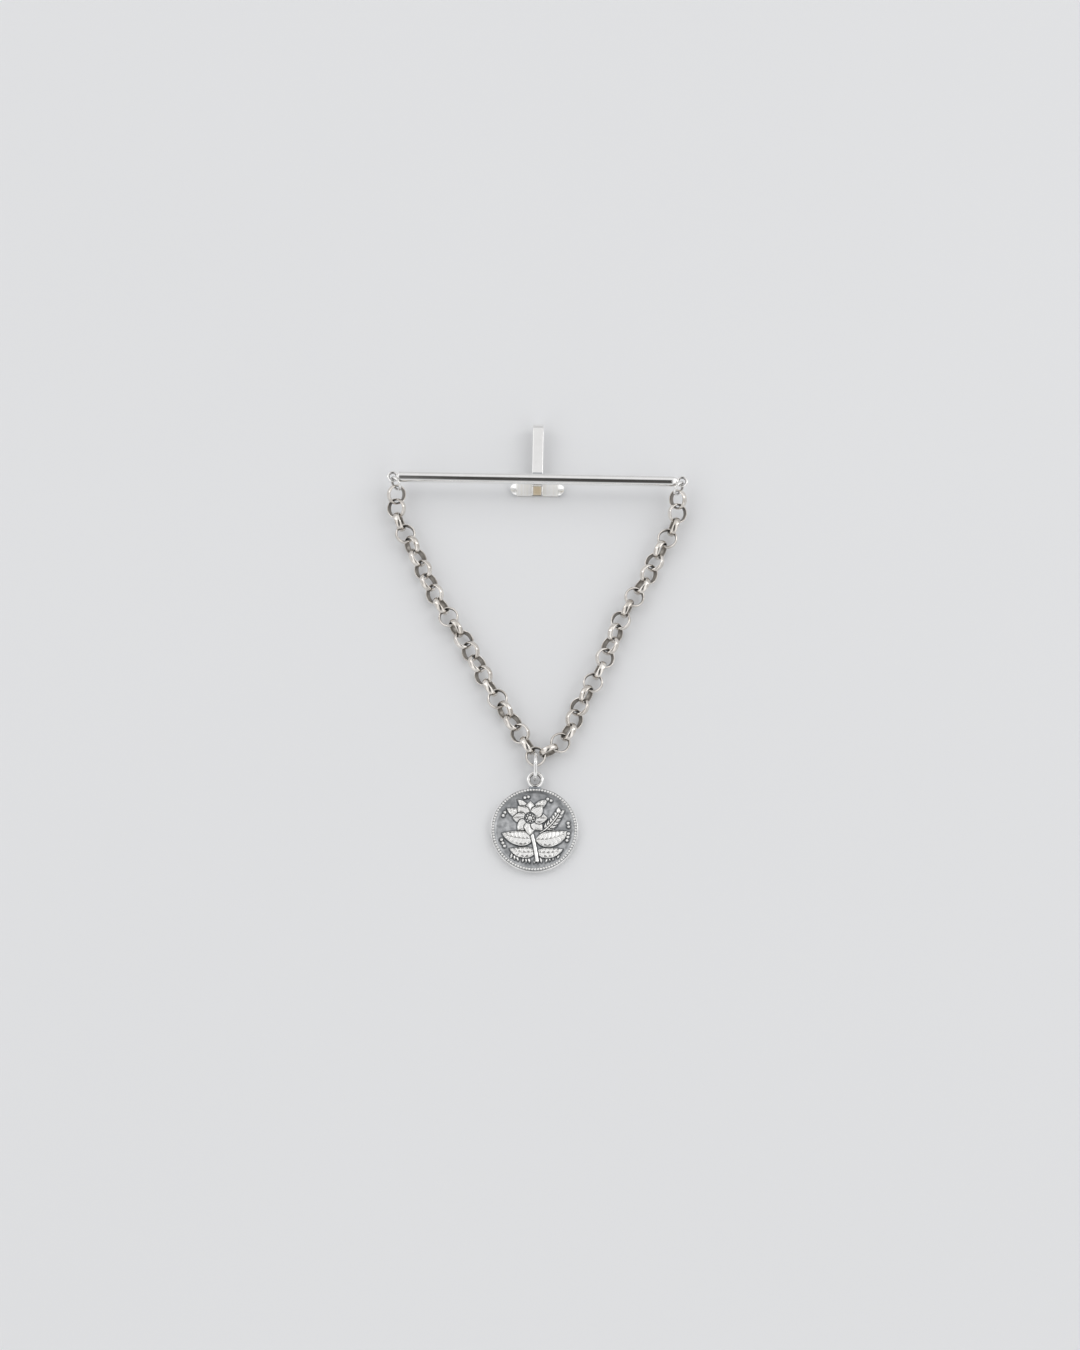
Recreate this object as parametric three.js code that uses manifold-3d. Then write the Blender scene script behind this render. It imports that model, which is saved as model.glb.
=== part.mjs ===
// Tie bar with a chain swag and a round pendant, lying on its back on a table.
// Millimetres. +X runs along the bar, +Y towards the bend of its clip, +Z up off the table.
// The origin is on the grip plate's flat back face, straight below the middle of the bar.

import * as THREE from 'three';
import { mergeVertices } from 'three/addons/utils/BufferGeometryUtils.js';
import Module from 'manifold-3d';

const wasm = await Module();
wasm.setup();

// Driving dimensions of the bar and its clip
const barLength = 51.5;
const barRadius = 1;
const barEndBevel = 0.2;
const barSeat = 0.2; // depth of the saddle in the strip that holds the bar
const stripWidth = 2;
const stripThickness = 0.8;
const clipReach = 11.75; // from the bar's axis to the outside of the bend
const clipGap = 1.6; // room for the cloth
const gripLength = 10;
const gripDepth = 2.1;
const gripThickness = 0.9;
const gripLap = 0.45; // how deep the strip's end is let into the plate
const gripOffset = 0.78; // from the bar's axis down to the middle of the plate
const gripTipLength = 1.9;
const gripTipAngle = THREE.MathUtils.degToRad(12);

// Driving dimensions of the eyelets and rings, all of round wire
const eyeletRadius = 1.1;
const eyeletWire = 0.55;
const eyeletSeat = 0.12; // how deep an eyelet is let into the end of the bar
const jumpRingRadius = 1.5;
const jumpRingWire = 0.5;
const pendantRingRadius = 2.65;
const pendantRingWire = 0.7;
const pendantSlack = 0.83; // how far the pendant ring is pushed up through the centre link
const ringClearance = 0.06;

// Driving dimensions of the chain, whose links are flat inside and domed outside
const linksPerSide = 22;
const linkRadius = 1.88;
const linkThickness = 0.41;
const linkWidth = 1.04;
const linkEdge = 0.2; // round of the band's edges
const linkCrown = 0.44; // width of the dome's top
const leftPlay = 0.16; // slack at each joint, as the two sides lie
const rightPlay = 0.146;

// Driving dimensions of the pendant
const bailRadius = 1.6;
const bailWire = 0.65;
const bailSeat = 0.1; // how deep the bail is let into the medallion's edge
const bailRise = 0.42; // bail above the middle of the medallion's edge
const medallionRadius = 7.85;
const medallionThickness = 1.7;
const medallionEdge = 0.3; // bevel of the outer edge
const rimWidth = 0.95; // beaded border, from the outer edge to the sunk field
const fieldDepth = 0.5;
const fieldSlope = 0.25;

// Driving dimensions of the flowering plant that stands up from the field, from the medallion's middle
const reliefHeight = 0.4;
const reliefRoot = 0.2; // how far it reaches down into the disc
const flower = { middle: [-0.8, 2.1], radius: 3.1 };
const leaves = [
  { base: [1, -0.7], degrees: 34, length: 5.9, width: 2.9, bend: 28 },
  { base: [-1.6, 2.6], degrees: 172, length: 3.8, width: 1.9, bend: -25 },
  { base: [-1.4, 3.6], degrees: 120, length: 2.7, width: 1.4, bend: 25 },
  { base: [-0.2, 3.3], degrees: 52, length: 3.6, width: 1.6, bend: -20 },
  { base: [0.3, -1.9], degrees: -2, length: 6.2, width: 3.1, bend: 34 },
  { base: [-0.1, -1.6], degrees: 188, length: 5.9, width: 2.9, bend: -32 },
  { base: [0.5, -4.1], degrees: -16, length: 4.9, width: 2.1, bend: 45 },
  { base: [0.3, -4], degrees: 198, length: 4.9, width: 2.2, bend: -45 },
];
const stem = { base: [0.6, -6], degrees: 97, length: 6.8, width: 0.9, bend: 12 };
const leafFullness = 0.75; // under 1 puts the widest place nearer the base

// How the chain lies: [link, degrees] pairs counted from the jump ring, read between by straight lines.
// A heading leans inwards from -Y, and a twist adds to the quarter turn from one link to the next.
const leftHeadings = [
  [1, -8], [2, 6], [4, 30], [6, 21], [8, 23], [11.5, 33], [15, 25], [19, 32], [22, 29],
];
const rightHeadings = [
  [1, -7], [2, 8], [4, 32], [6, 20], [8.5, 33], [12.5, 18], [17, 28], [19.5, 16], [22, 62],
];
const leftTwists = [[1, 10], [6, -90], [9, -90], [14, -180], [16, -180], [20, -270], [22, -295]];
const rightTwists = [[1, 0], [22, 315]];
const firstRoll = 45; // the first link's lean, mirrored on the other side
const quarterTurn = 90;
const jumpRingHeading = 25;
const jumpRingRoll = 70;
const leftEntry = 40; // where each side meets the centre link, in degrees from its top
const rightEntry = 65;
const fallShares = [0.3, 0.3, 0.25, 0.15]; // of the fall to the table, for the jump ring and three links

// Facets
const barFacets = 32;
const ringFacets = 16;
const wireFacets = 8;
const bendFacets = 12;
const medallionFacets = 48;
const flowerFacets = 12;
const leafFacets = 5; // along each edge

const polished = { color: 0xd6d5d2, roughness: 0.12, metalness: 1 };
const worn = { color: 0xb9b5ae, roughness: 0.28, metalness: 1 };
const oxidised = { color: 0x8d8f93, roughness: 0.4, metalness: 1 };

// Heights off the table
const gripSeatHeight = gripThickness - gripLap;
const frontLegHeight = gripSeatHeight + stripThickness + clipGap;
const barHeight = frontLegHeight + stripThickness + barRadius - barSeat;
const chainHeight = Math.hypot(linkRadius, linkCrown / 2); // the highest that a leaning link needs
const bailHeight = medallionThickness / 2 + bailRise;

const object = new THREE.Group();
object.name = 'tie_bar';

function addPiece(name, geometry, finish) {
  const mesh = new THREE.Mesh(geometry, new THREE.MeshStandardMaterial(finish));
  mesh.name = name;
  object.add(mesh);
  return mesh;
}

// A closed solid for joining and cutting, from a geometry already in place
function solidOf(geometry) {
  const bare = geometry.clone();
  bare.deleteAttribute('normal');
  bare.deleteAttribute('uv');
  const merged = mergeVertices(bare);
  const vertProperties = new Float32Array(merged.attributes.position.array);
  const triVerts = new Uint32Array(merged.index.array);
  return new wasm.Manifold(new wasm.Mesh({ numProp: 3, vertProperties, triVerts }));
}

function geometryOf(solid) {
  const { vertProperties, triVerts } = solid.getMesh();
  const geometry = new THREE.BufferGeometry();
  geometry.setAttribute('position', new THREE.BufferAttribute(new Float32Array(vertProperties), 3));
  geometry.setIndex(new THREE.BufferAttribute(new Uint32Array(triVerts), 1));
  return geometry;
}

function cut(geometry, tool) {
  return geometryOf(solidOf(geometry).subtract(solidOf(tool)));
}

// A turned body from [radius, height] corners, about the Y axis
function turned(corners, facets) {
  const outline = corners.map(([radius, height]) => new THREE.Vector2(radius, height));
  return new THREE.LatheGeometry(outline, facets);
}

// A ring of round wire about the Y axis
function wireRing(outerRadius, wire) {
  const corners = [];
  for (let k = 0; k <= wireFacets; k += 1) {
    const angle = (2 * Math.PI * (k % wireFacets)) / wireFacets;
    const radius = outerRadius - wire / 2 + (wire / 2) * Math.cos(angle);
    corners.push([radius, (wire / 2) * Math.sin(angle)]);
  }
  return turned(corners, ringFacets);
}

// A chain link about the Y axis: a band, flat inside with rounded edges and domed outside
function linkBand() {
  const inner = linkRadius - linkThickness;
  const half = linkWidth / 2;
  const corners = [
    [inner, -half + linkEdge],
    [inner + linkEdge, -half],
    [linkRadius, -linkCrown / 2],
    [linkRadius, linkCrown / 2],
    [inner + linkEdge, half],
    [inner, half - linkEdge],
    [inner, -half + linkEdge],
  ];
  return turned(corners, ringFacets);
}

// Places a ring so that its plane holds the direction, turned about it by the roll
function aim(ring, centre, direction, roll) {
  const side = new THREE.Vector3(0, 0, 1).cross(direction).normalize();
  const up = new THREE.Vector3().crossVectors(direction, side);
  const across = side.multiplyScalar(Math.cos(roll)).addScaledVector(up, Math.sin(roll));
  const axis = new THREE.Vector3().crossVectors(direction, across);
  const third = new THREE.Vector3().crossVectors(direction, axis);
  ring.quaternion.setFromRotationMatrix(new THREE.Matrix4().makeBasis(direction, axis, third));
  ring.position.copy(centre);
}

// The value at a link, between [link, value] pairs
function between(pairs, link) {
  const after = Math.max(1, pairs.findIndex(([at]) => at >= link));
  const [fromLink, fromValue] = pairs[after - 1];
  const [toLink, toValue] = pairs[after];
  return THREE.MathUtils.mapLinear(link, fromLink, toLink, fromValue, toValue);
}

// Bar: a round rod with bevelled ends, each with a seat for its eyelet
const eyeletX = barLength / 2 + eyeletRadius - eyeletSeat;
const eyelet = wireRing(eyeletRadius, eyeletWire).rotateX(Math.PI / 2);
const leftEyelet = eyelet.clone().translate(-eyeletX, 0, barHeight);
const rightEyelet = eyelet.clone().translate(eyeletX, 0, barHeight);
const rod = turned([
  [0, -barLength / 2],
  [barRadius - barEndBevel, -barLength / 2],
  [barRadius, -barLength / 2 + barEndBevel],
  [barRadius, barLength / 2 - barEndBevel],
  [barRadius - barEndBevel, barLength / 2],
  [0, barLength / 2],
], barFacets).rotateZ(-Math.PI / 2).translate(0, 0, barHeight);
addPiece('bar', cut(cut(rod, leftEyelet), rightEyelet), polished);

// Eyelets: a closed ring lying flat on each end of the bar
addPiece('left_eyelet', leftEyelet, polished);
addPiece('right_eyelet', rightEyelet, polished);

// Clip strip: flat wire bent over at the top, with the bar soldered across its front leg
const gripTop = -gripOffset + gripDepth / 2;
const gripBottom = -gripOffset - gripDepth / 2;
const frontFace = frontLegHeight + stripThickness;
const bendRadius = frontFace / 2;
const bendY = clipReach - bendRadius;
const stripSide = new THREE.Shape()
  .moveTo(-barRadius, frontFace)
  .lineTo(-barRadius, frontLegHeight)
  .lineTo(bendY, frontLegHeight)
  .absarc(bendY, bendRadius, bendRadius - stripThickness, Math.PI / 2, -Math.PI / 2, true)
  .lineTo(gripTop, gripSeatHeight + stripThickness)
  .lineTo(gripBottom, gripSeatHeight + stripThickness)
  .lineTo(gripBottom, gripSeatHeight)
  .lineTo(gripTop, gripSeatHeight)
  .lineTo(bendY, 0)
  .absarc(bendY, bendRadius, bendRadius, -Math.PI / 2, Math.PI / 2, false);
const strip = new THREE.ExtrudeGeometry(stripSide, {
  depth: stripWidth,
  bevelEnabled: false,
  curveSegments: bendFacets,
}).translate(0, 0, -stripWidth / 2).rotateX(Math.PI / 2).rotateZ(Math.PI / 2);
addPiece('clip_strip', cut(strip, rod), polished);

// Grip plate: a cross bar with round ends and lifted tips, with the strip's end let into its front
const flatHalf = gripLength / 2 - gripTipLength;
const tipRise = gripTipLength * Math.tan(gripTipAngle);
const gripFront = new THREE.Shape([
  new THREE.Vector2(-flatHalf, 0),
  new THREE.Vector2(flatHalf, 0),
  new THREE.Vector2(gripLength / 2, tipRise),
  new THREE.Vector2(gripLength / 2, tipRise + gripThickness),
  new THREE.Vector2(flatHalf, gripThickness),
  new THREE.Vector2(-flatHalf, gripThickness),
  new THREE.Vector2(-gripLength / 2, tipRise + gripThickness),
  new THREE.Vector2(-gripLength / 2, tipRise),
]);
const bentPlate = new THREE.ExtrudeGeometry(gripFront, { depth: gripDepth, bevelEnabled: false })
  .rotateX(Math.PI / 2)
  .translate(0, gripTop, 0);
const endRadius = gripDepth / 2;
const endCentre = gripLength / 2 - endRadius;
const gripOutline = new THREE.Shape()
  .absarc(endCentre, -gripOffset, endRadius, -Math.PI / 2, Math.PI / 2, false)
  .absarc(-endCentre, -gripOffset, endRadius, Math.PI / 2, (3 * Math.PI) / 2, false);
const plateHeight = tipRise + gripThickness;
const roundEnds = new THREE.ExtrudeGeometry(gripOutline, {
  depth: plateHeight,
  bevelEnabled: false,
  curveSegments: bendFacets,
});
const roundedPlate = geometryOf(solidOf(bentPlate).intersect(solidOf(roundEnds)));
addPiece('grip_plate', cut(roundedPlate, strip), polished);

// Chain: two sides of links that start at the jump rings and meet in the centre link
const linkInner = linkRadius - linkThickness;
const tautPitch = 2 * Math.sqrt(linkInner ** 2 - (linkWidth / 2) ** 2);
const jumpInner = jumpRingRadius - jumpRingWire;
const jumpHang = jumpInner - eyeletWire / 2 - ringClearance; // eyelet wire to the ring's centre
const jumpReach = Math.sqrt(jumpInner ** 2 - (linkWidth / 2) ** 2) - ringClearance; // centre to first link
const fall = barHeight - chainHeight;

// A unit vector that leans inwards from -Y and drops by the slope
function heading(inward, degrees, slope) {
  const angle = THREE.MathUtils.degToRad(degrees);
  const flat = Math.cos(slope);
  return new THREE.Vector3(inward * flat * Math.sin(angle), -flat * Math.cos(angle), -Math.sin(slope));
}

// One side of the chain before it is turned to meet the other
function chainSide(name, inward, play, headings, twists, entry) {
  const pitch = tautPitch - play;
  const toWire = heading(inward, jumpRingHeading, 0).multiplyScalar(eyeletRadius - eyeletWire / 2);
  const wireCentre = new THREE.Vector3(-inward * eyeletX, 0, barHeight).add(toWire);
  const jumpSlope = Math.asin((fallShares[0] * fall) / (jumpHang + jumpReach));
  const jumpDirection = heading(inward, jumpRingHeading, jumpSlope);
  const start = wireCentre.clone().addScaledVector(jumpDirection, jumpHang + jumpReach);
  const links = [];
  const span = new THREE.Vector3();
  for (let link = 1; link <= linksPerSide; link += 1) {
    const slope = Math.asin(((fallShares[link] ?? 0) * fall) / pitch);
    const degrees = between(headings, link);
    const roll = -inward * firstRoll + quarterTurn * (link - 1) + between(twists, link);
    links.push({ degrees, slope, roll: THREE.MathUtils.degToRad(roll) });
    span.addScaledVector(heading(inward, degrees, slope), pitch);
  }
  const toCentre = heading(inward, entry, 0).multiplyScalar(pitch / 2);
  const hub = start.clone().add(toCentre);
  return { name, inward, pitch, wireCentre, jumpDirection, start, links, span, hub };
}

const left = chainSide('left', 1, leftPlay, leftHeadings, leftTwists, leftEntry);
const right = chainSide('right', -1, rightPlay, rightHeadings, rightTwists, rightEntry);

// The centre link hangs where arcs struck from both hubs with the sides' spans cross
const leftSpan = Math.hypot(left.span.x, left.span.y);
const rightSpan = Math.hypot(right.span.x, right.span.y);
const hubGap = Math.hypot(right.hub.x - left.hub.x, right.hub.y - left.hub.y);
const hubTilt = Math.atan2(right.hub.y - left.hub.y, right.hub.x - left.hub.x);
const leftAngle = Math.acos((leftSpan ** 2 + hubGap ** 2 - rightSpan ** 2) / (2 * leftSpan * hubGap));
const centre = new THREE.Vector3(
  left.hub.x + leftSpan * Math.cos(hubTilt - leftAngle),
  left.hub.y + leftSpan * Math.sin(hubTilt - leftAngle),
  chainHeight,
);

function layChain(side) {
  const jumpRing = addPiece(`${side.name}_jump_ring`, wireRing(jumpRingRadius, jumpRingWire), polished);
  const jumpCentre = side.wireCentre.clone().addScaledVector(side.jumpDirection, jumpHang);
  aim(jumpRing, jumpCentre, side.jumpDirection, side.inward * THREE.MathUtils.degToRad(jumpRingRoll));
  const target = Math.atan2(side.inward * (centre.x - side.hub.x), side.hub.y - centre.y);
  const turn = THREE.MathUtils.radToDeg(target - Math.atan2(side.inward * side.span.x, -side.span.y));
  const joint = side.start.clone();
  side.links.forEach(({ degrees, slope, roll }, index) => {
    const direction = heading(side.inward, degrees + turn, slope);
    const number = String(index + 1).padStart(2, '0');
    const link = addPiece(`${side.name}_link_${number}`, linkBand(), worn);
    aim(link, joint.clone().addScaledVector(direction, side.pitch / 2), direction, roll);
    joint.addScaledVector(direction, side.pitch);
  });
}

layChain(left);
layChain(right);
aim(addPiece('centre_link', linkBand(), worn), centre, new THREE.Vector3(1, 0, 0), 0);

// Pendant ring: stands on the table, round the centre link's lower wire and the bail
const pendantInner = pendantRingRadius - pendantRingWire;
const linkCorner = Math.hypot(linkWidth / 2, linkThickness / 2);
const pendantHang = pendantInner - linkCorner - ringClearance - pendantSlack;
const pendantCentre = new THREE.Vector3(
  centre.x,
  centre.y - linkRadius + linkThickness / 2 - pendantHang,
  pendantRingRadius,
);
const pendantRing = addPiece('pendant_jump_ring', wireRing(pendantRingRadius, pendantRingWire), polished);
aim(pendantRing, pendantCentre, new THREE.Vector3(0, -1, 0), Math.PI / 2);

// Bail and medallion: the bail hangs in the pendant ring and is soldered to the edge; a plant fills the field
const bailHang = pendantInner - bailWire / 2 - ringClearance;
const bailBelow = pendantRingRadius - bailHeight;
const bailTop = pendantCentre.y - Math.sqrt(bailHang ** 2 - bailBelow ** 2);
const bailY = bailTop - bailRadius + bailWire / 2;
const medallionY = bailY - bailRadius - medallionRadius + bailSeat;
const fieldRadius = medallionRadius - rimWidth;
const disc = turned([
  [0, 0],
  [medallionRadius - medallionEdge, 0],
  [medallionRadius, medallionEdge],
  [medallionRadius, medallionThickness - medallionEdge],
  [medallionRadius - medallionEdge, medallionThickness],
  [fieldRadius, medallionThickness],
  [fieldRadius - fieldSlope, medallionThickness - fieldDepth],
  [0, medallionThickness - fieldDepth],
], medallionFacets).rotateX(Math.PI / 2).translate(centre.x, medallionY, 0);
const bail = wireRing(bailRadius, bailWire).rotateX(Math.PI / 2).translate(centre.x, bailY, bailHeight);
addPiece('medallion_bail', cut(bail, disc), polished);

// A pointed leaf along an arc: up its right edge to the tip and back down the left
function leafOutline({ base, degrees, length, width, bend }) {
  const first = THREE.MathUtils.degToRad(degrees);
  const sweep = THREE.MathUtils.degToRad(bend);
  const bow = length / sweep;
  const corners = [];
  for (let k = 0; k < 2 * leafFacets; k += 1) {
    const share = 1 - Math.abs(1 - k / leafFacets);
    const side = k < leafFacets ? -1 : 1;
    const turn = first + sweep * share;
    const half = side * (width / 2) * Math.sin(Math.PI * share ** leafFullness);
    corners.push([
      base[0] + bow * (Math.sin(turn) - Math.sin(first)) - half * Math.sin(turn),
      base[1] + bow * (Math.cos(first) - Math.cos(turn)) + half * Math.cos(turn),
    ]);
  }
  return corners;
}

function flowerOutline({ middle, radius }) {
  const corners = [];
  for (let k = 0; k < flowerFacets; k += 1) {
    const angle = (2 * Math.PI * k) / flowerFacets;
    corners.push([middle[0] + radius * Math.cos(angle), middle[1] + radius * Math.sin(angle)]);
  }
  return corners;
}

const plantOutlines = [...leaves.map(leafOutline), leafOutline(stem), flowerOutline(flower)];
const plant = new wasm.CrossSection(plantOutlines, 'NonZero')
  .extrude(reliefRoot + reliefHeight)
  .translate([centre.x, medallionY, medallionThickness - fieldDepth - reliefRoot]);
addPiece('medallion', geometryOf(solidOf(disc).add(plant)), oxidised);

export default object;
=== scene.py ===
import math

import bmesh
import bpy
import numpy as np
from mathutils import Matrix, Vector


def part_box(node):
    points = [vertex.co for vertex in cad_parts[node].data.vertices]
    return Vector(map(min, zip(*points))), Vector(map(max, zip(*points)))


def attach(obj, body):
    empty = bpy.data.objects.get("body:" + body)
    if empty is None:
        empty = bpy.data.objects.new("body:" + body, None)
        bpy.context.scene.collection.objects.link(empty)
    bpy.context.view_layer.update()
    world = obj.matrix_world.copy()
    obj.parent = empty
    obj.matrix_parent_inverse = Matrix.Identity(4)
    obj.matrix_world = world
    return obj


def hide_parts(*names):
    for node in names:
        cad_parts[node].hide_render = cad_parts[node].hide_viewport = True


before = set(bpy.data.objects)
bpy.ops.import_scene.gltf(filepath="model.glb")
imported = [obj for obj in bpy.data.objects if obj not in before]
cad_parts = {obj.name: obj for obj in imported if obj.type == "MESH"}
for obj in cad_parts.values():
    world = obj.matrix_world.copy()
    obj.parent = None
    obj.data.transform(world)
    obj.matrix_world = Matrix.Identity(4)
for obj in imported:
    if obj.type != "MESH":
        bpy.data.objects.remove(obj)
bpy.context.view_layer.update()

# Table and light: a plain pale board inside a white tent with bright sides and a dimmer skirt.
# Two long soft panels shine in from the sides. The tent's one dark gap, where the viewer stands on
# the pendant's side, draws the dark line on the bar.
mm = 0.001
table_size = 3.0
table_pale = (0.85, 0.857, 0.87, 1)
table_shade = (0.83, 0.837, 0.85, 1)
table_roughness = (0.75, 0.9)
table_shine = 0.2
table_grain = 0.004 * mm
mottle_noise = (9.0, 3.0)
fibre_noise = (2600.0, 2.0)
fibre_reach = (0.3, 0.7)
tent_glow = (0.84, 0.84, 0.845, 1)
side_glow = (1.14, 1.14, 1.14, 1)
side_reach = (0.26, 0.42)
skirt_glow = (0.62, 0.62, 0.625, 1)
skirt_reach = (0.72, 0.88)
back_lean = [math.radians(angle) for angle in (-68, -56)]
gap_glow = (0.06, 0.058, 0.056, 1)
gap_lean = [math.radians(angle) for angle in (-13, -1, 46, 90)]
gap_reach = (0.14, 0.36)
panels = {"left_panel": (-1.5, 1.0), "right_panel": (1.5, 1.7)}
panel_back = 0.6
panel_distance = 0.7
panel_size = (0.14, 0.56)
view_lift = math.radians(72)
view_roll = math.radians(1)
view_aim = Vector((1.1, -37.2, 1.9)) * mm
view_height = 246 * mm
lens = 100
film = 36
nearest_seen = 0.01


def add_node(tree, kind, inputs, **settings):
    made = tree.nodes.new(kind)
    for name, value in settings.items():
        setattr(made, name, value)
    for name, value in inputs.items():
        if isinstance(value, bpy.types.NodeSocket):
            tree.links.new(value, made.inputs[name])
        else:
            made.inputs[name].default_value = value
    return made


def ramp(tree, value, start, end, low=0.0, high=1.0):
    inputs = {0: value, 1: start, 2: end, 3: low, 4: high}
    return add_node(tree, "ShaderNodeMapRange", inputs, interpolation_type="SMOOTHSTEP").outputs[0]


def math_node(tree, operation, first, second=0.0):
    return add_node(tree, "ShaderNodeMath", {0: first, 1: second}, operation=operation).outputs[0]


def blend_colours(tree, factor, first, second):
    inputs = {0: factor, 6: first, 7: second}
    return add_node(tree, "ShaderNodeMix", inputs, data_type="RGBA").outputs[2]


def noise(tree, place, scale, detail):
    inputs = {"Vector": place, "Scale": scale, "Detail": detail}
    return add_node(tree, "ShaderNodeTexNoise", inputs).outputs[0]


def split_vector(tree, vector):
    return add_node(tree, "ShaderNodeSeparateXYZ", {0: vector}).outputs


def new_material(name):
    material = bpy.data.materials.new(name)
    material.use_nodes = True
    tree = material.node_tree
    coordinates = add_node(tree, "ShaderNodeTexCoord", {})
    return material, tree, tree.nodes["Principled BSDF"], coordinates


def dress(tree, shader, colour, roughness, height=None, depth=0.0):
    tree.links.new(colour, shader.inputs["Base Color"])
    tree.links.new(roughness, shader.inputs["Roughness"])
    if height is not None:
        bump = add_node(tree, "ShaderNodeBump", {"Height": height, "Strength": 1.0, "Distance": depth})
        tree.links.new(bump.outputs[0], shader.inputs["Normal"])


table_board, tree, shader, coordinates = new_material("table_board")
mottle = noise(tree, coordinates.outputs["Object"], *mottle_noise)
fibre = noise(tree, coordinates.outputs["Object"], *fibre_noise)
colour = blend_colours(tree, mottle, table_pale, table_shade)
dress(tree, shader, colour, ramp(tree, fibre, *fibre_reach, *table_roughness), fibre, table_grain)
shader.inputs["Specular IOR Level"].default_value = table_shine

bm = bmesh.new()
bmesh.ops.create_grid(bm, x_segments=8, y_segments=8, size=table_size / 2)
table_mesh = bpy.data.meshes.new("table")
bm.to_mesh(table_mesh)
bm.free()
table_mesh.materials.append(table_board)
table = bpy.data.objects.new("table", table_mesh)
bpy.context.scene.collection.objects.link(table)

world = bpy.data.worlds.new("tent")
world.use_nodes = True
tree = world.node_tree
heading = split_vector(tree, add_node(tree, "ShaderNodeTexCoord", {}).outputs["Generated"])
nearer = math_node(tree, "MULTIPLY", heading["Y"], -1.0)
lean = math_node(tree, "ARCTAN2", nearer, heading["Z"])
opens = ramp(tree, lean, gap_lean[0], gap_lean[1])
closes = ramp(tree, lean, gap_lean[2], gap_lean[3], 1.0, 0.0)
sideways = math_node(tree, "ABSOLUTE", heading["X"])
within = ramp(tree, sideways, *gap_reach, 1.0, 0.0)
gap = math_node(tree, "MULTIPLY", math_node(tree, "MULTIPLY", opens, closes), within)
glow = blend_colours(tree, ramp(tree, sideways, *side_reach), tent_glow, side_glow)
behind = ramp(tree, lean, *back_lean, 1.0, 0.0)
skirt = math_node(tree, "MAXIMUM", behind, ramp(tree, sideways, *skirt_reach))
glow = blend_colours(tree, skirt, glow, skirt_glow)
tree.links.new(blend_colours(tree, gap, glow, gap_glow), tree.nodes["Background"].inputs["Color"])
bpy.context.scene.world = world


def add_panel(name, toward, distance, width, depth, glow):
    light = bpy.data.lights.new(name, "AREA")
    light.shape = "RECTANGLE"
    light.size = width
    light.size_y = depth
    light.energy = glow * math.pi * width * depth
    lamp = bpy.data.objects.new(name, light)
    facing = Vector(toward).normalized()
    lamp.rotation_euler = facing.to_track_quat("Z", "Y").to_euler()
    lamp.location = view_aim + facing * distance
    lamp.visible_camera = False
    bpy.context.scene.collection.objects.link(lamp)


for name, (aside, glow) in panels.items():
    add_panel(name, (aside, panel_back, 1), panel_distance, *panel_size, glow)

camera_data = bpy.data.cameras.new("camera")
camera_data.lens = lens
camera_data.sensor_fit = "VERTICAL"
camera_data.sensor_height = film
camera_data.clip_start = nearest_seen
camera = bpy.data.objects.new("camera", camera_data)
backward = Vector((0, -math.cos(view_lift), math.sin(view_lift)))
distance = view_height * lens / film
turn = Matrix.Rotation(math.pi / 2 - view_lift, 4, "X") @ Matrix.Rotation(view_roll, 4, "Z")
camera.matrix_world = Matrix.Translation(view_aim + backward * distance) @ turn
bpy.context.scene.collection.objects.link(camera)
bpy.context.scene.camera = camera
bpy.context.scene.view_settings.view_transform = "Standard"

# Bar: a drawn silver rod, polished bright, with a small bevel on its left end and a filed taper on its right.
# It lies across the front leg of the clip and is soldered there.
silver_bright = (0.925, 0.92, 0.91, 1)
silver_dull = (0.82, 0.815, 0.80, 1)
silver_tarnish_and_shade = (0.3, 0.29, 0.28, 1)
dull_share = 0.35
gloss_spread = 0.1
polish_marks = 0.0006 * mm
cloud_noise = (420.0, 4.0)
cloud_reach = (0.35, 0.75)
scratch_noise = (1.0, 5.0)
scratch_reach = (0.3, 0.75)
smooth_angle = math.radians(38)
merge_distance = 0.0001 * mm
tolerance = 0.01 * mm
rod_steps = 96
left_bevel = 0.25 * mm
right_bevel = 0.15 * mm
taper_length = 1.3 * mm
taper_depth = 0.22
taper_steps = 8
bevel_steps = 6
bar_lines = (60, 4000, 4000)
bar_gloss = 0.06

wear = bpy.data.node_groups.new("silver_wear", "ShaderNodeTree")
wear.interface.new_socket("Place", in_out="INPUT", socket_type="NodeSocketVector")
wear.interface.new_socket("Lines", in_out="INPUT", socket_type="NodeSocketVector")
wear.interface.new_socket("Cloud", in_out="OUTPUT", socket_type="NodeSocketFloat")
wear.interface.new_socket("Scratch", in_out="OUTPUT", socket_type="NodeSocketFloat")
wear_in = wear.nodes.new("NodeGroupInput")
wear_out = wear.nodes.new("NodeGroupOutput")
cloud = noise(wear, wear_in.outputs["Place"], *cloud_noise)
scratch = noise(wear, wear_in.outputs["Lines"], *scratch_noise)
wear.links.new(ramp(wear, cloud, *cloud_reach), wear_out.inputs["Cloud"])
wear.links.new(ramp(wear, scratch, *scratch_reach), wear_out.inputs["Scratch"])


def add_wear(tree, place, line_source, line_scale):
    lines = add_node(tree, "ShaderNodeMapping", {"Vector": line_source, "Scale": line_scale})
    group = tree.nodes.new("ShaderNodeGroup")
    group.node_tree = wear
    tree.links.new(place, group.inputs["Place"])
    tree.links.new(lines.outputs[0], group.inputs["Lines"])
    return group.outputs["Cloud"], group.outputs["Scratch"]


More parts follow.
